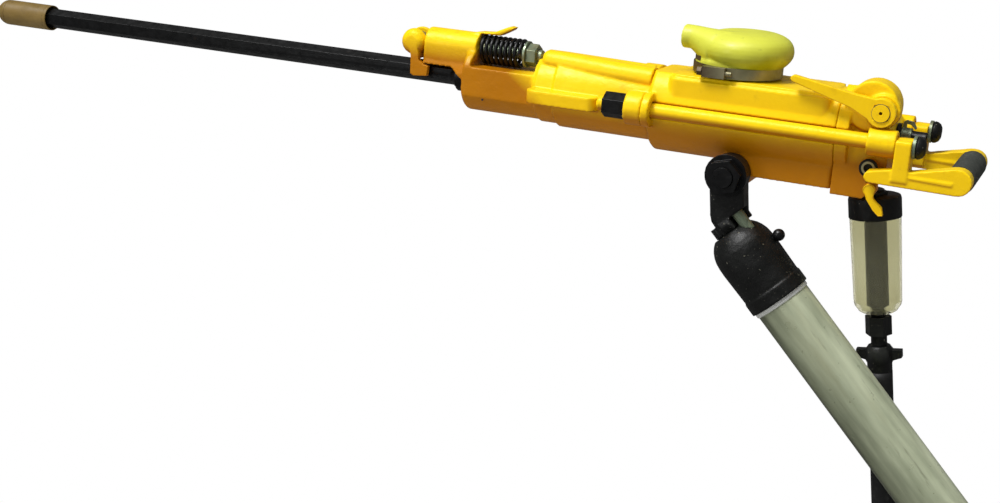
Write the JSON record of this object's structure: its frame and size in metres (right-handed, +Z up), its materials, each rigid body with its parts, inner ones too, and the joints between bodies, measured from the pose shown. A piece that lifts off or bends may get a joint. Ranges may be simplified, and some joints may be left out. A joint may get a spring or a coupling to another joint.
{
  "type": "pneumatic rock drill",
  "caption": "Hand-held pneumatic rock drill on a telescopic air leg, with hexagonal drill rod, hanging line oiler and coiled air hose.",
  "frame": {"origin": "middle of the hand grip, on its axis", "axes": "+Z up, the drilling axis in the XZ plane with the nose towards -X and 9.3 degrees up, throttle lever on the -Y side"},
  "size_m": [2.0657, 0.5244, 1.6666],
  "materials": {
    "yellow_paint": "glossy warm yellow enamel over a cast surface",
    "black_steel": "blackened steel with a dull sheen",
    "machined_steel": "machined steel",
    "bronze": "machined bronze",
    "mustard_plastic": "mustard moulded plastic",
    "plated_steel": "greenish zinc plating",
    "dark_casting": "black painted casting",
    "tube_alloy": "mottled drawn tube",
    "lime_rubber": "yellow-green moulded rubber",
    "dark_rubber": "dark grey-green rubber",
    "hose_rubber": "black wrapped hose rubber",
    "oil_plastic": "clear plastic stained olive by oil"
  },
  "bodies": {
    "drill": {"nose_housing": "yellow_paint", "cylinder": "yellow_paint", "back_head": "yellow_paint", "guide_bush": "bronze", "ratchet_ring": "machined_steel", "valve_chest": "machined_steel", "valve_plate": "machined_steel", "water_needle": "machined_steel", "water_connector": "black_steel", "side_bolt_left": "yellow_paint", "side_bolt_right": "yellow_paint", "side_nut_left": "black_steel", "side_nut_right": "black_steel", "rear_nut_left": "dark_casting", "rear_nut_right": "dark_casting", "handle_arm_left": "yellow_paint", "handle_arm_right": "yellow_paint", "grip_tube": "machined_steel", "grip_sleeve": "dark_rubber", "exhaust_spigot": "dark_casting", "muffler": "lime_rubber", "muffler_clamp": "plated_steel", "clamp_screw": "plated_steel", "leg_axle": "black_steel", "leg_axle_nut": "black_steel", "oiler_fitting": "dark_casting", "oiler_cap": "dark_casting", "oiler_bottle": "oil_plastic", "oiler_union": "dark_casting", "hose_coupling": "dark_casting", "air_hose": "hose_rubber", "air_hose_coil": "hose_rubber", "hose_end_coupling": "dark_casting", "retainer_spring": "black_steel"},
    "chuck": {"chuck": "machined_steel"},
    "rod": {"drill_rod": "black_steel", "drill_bit": "machined_steel"},
    "cap": {"bit_cap": "mustard_plastic"},
    "piston": {"piston": "machined_steel", "rifle_nut": "bronze"},
    "rifle_bar": {"rifle_bar": "machined_steel"},
    "retainer_bolt": {"retainer_bolt": "plated_steel", "retainer_washer": "plated_steel", "retainer_nut": "plated_steel"},
    "retainer": {"retainer_fork": "yellow_paint", "retainer_pin": "black_steel"},
    "throttle": {"throttle_lever": "yellow_paint", "throttle_valve": "yellow_paint"},
    "trigger": {"trigger": "yellow_paint"},
    "regulator": {"regulator_valve": "dark_casting"},
    "water_nut": {"water_wing_nut": "plated_steel"},
    "leg": {"leg_yoke": "dark_casting", "leg_head": "dark_casting", "leg_swivel_stud": "plated_steel", "leg_vent_knob": "black_steel", "leg_outer_tube": "tube_alloy", "leg_guide_collar": "dark_casting"},
    "leg_rod": {"leg_inner_tube": "machined_steel", "leg_piston": "dark_rubber", "leg_foot": "dark_casting"}
  },
  "joints": [
    {"name": "chuck_spin", "type": "hinge", "parent": "drill", "child": "chuck", "pos_m": [-0.49434, 0, 0.11236], "axis": [-0.9869, 0, 0.1616], "continuous": true},
    {"name": "rod_slide", "type": "slide", "parent": "chuck", "child": "rod", "axis": [-0.9869, 0, 0.1616], "range_m": [0, 0.024]},
    {"name": "cap_pull", "type": "slide", "parent": "rod", "child": "cap", "axis": [-0.9869, 0, 0.1616], "range_m": [0, 0.12]},
    {"name": "piston_stroke", "type": "slide", "parent": "chuck", "child": "piston", "axis": [0.9869, 0, -0.1616], "range_m": [0, 0.06]},
    {"name": "rifle_bar_turn", "type": "hinge", "parent": "drill", "child": "rifle_bar", "pos_m": [-0.16868, 0, 0.05903], "axis": [0.9869, 0, -0.1616], "range_deg": [-30.2, 0]},
    {"name": "retainer_bolt_slide", "type": "slide", "parent": "drill", "child": "retainer_bolt", "axis": [-0.9869, 0, 0.1616], "range_m": [0, 0.006], "stiffness_N_per_m": 6000, "springref_m": -0.01, "deforming": ["retainer_spring"]},
    {"name": "retainer_swing", "type": "hinge", "parent": "retainer_bolt", "child": "retainer", "pos_m": [-0.70029, 0, 0.1851], "axis": [0, 1, 0], "range_deg": [0, 90]},
    {"name": "throttle_turn", "type": "hinge", "parent": "drill", "child": "throttle", "pos_m": [-0.08414, -0.05, 0.08025], "axis": [0, 1, 0], "range_deg": [0, 90]},
    {"name": "trigger_pull", "type": "hinge", "parent": "drill", "child": "trigger", "pos_m": [-0.1019, -0.058, -0.00966], "axis": [0, -1, 0], "range_deg": [0, 18], "stiffness_Nm_per_rad": 0.6, "springref_deg": -20.05},
    {"name": "regulator_turn", "type": "hinge", "parent": "drill", "child": "regulator", "pos_m": [-0.10296, -0.05, 0.01483], "axis": [0, 1, 0], "range_deg": [0, 60]},
    {"name": "water_nut_turn", "type": "hinge", "parent": "drill", "child": "water_nut", "pos_m": [-0.06703, 0, 0.04239], "axis": [0.9869, 0, -0.1616], "continuous": true},
    {"name": "leg_swing", "type": "hinge", "parent": "drill", "child": "leg", "pos_m": [-0.26882, 0, 0.0106], "axis": [0, 1, 0], "range_deg": [-33, 80]},
    {"name": "leg_extend", "type": "slide", "parent": "leg", "child": "leg_rod", "axis": [0.5707, 0, -0.8211], "range_m": [0, 1.335]}
  ],
  "couplings": [
    {"joint": "rifle_bar_turn", "follows": "piston_stroke", "rad_per_m": -8.7266}
  ]
}
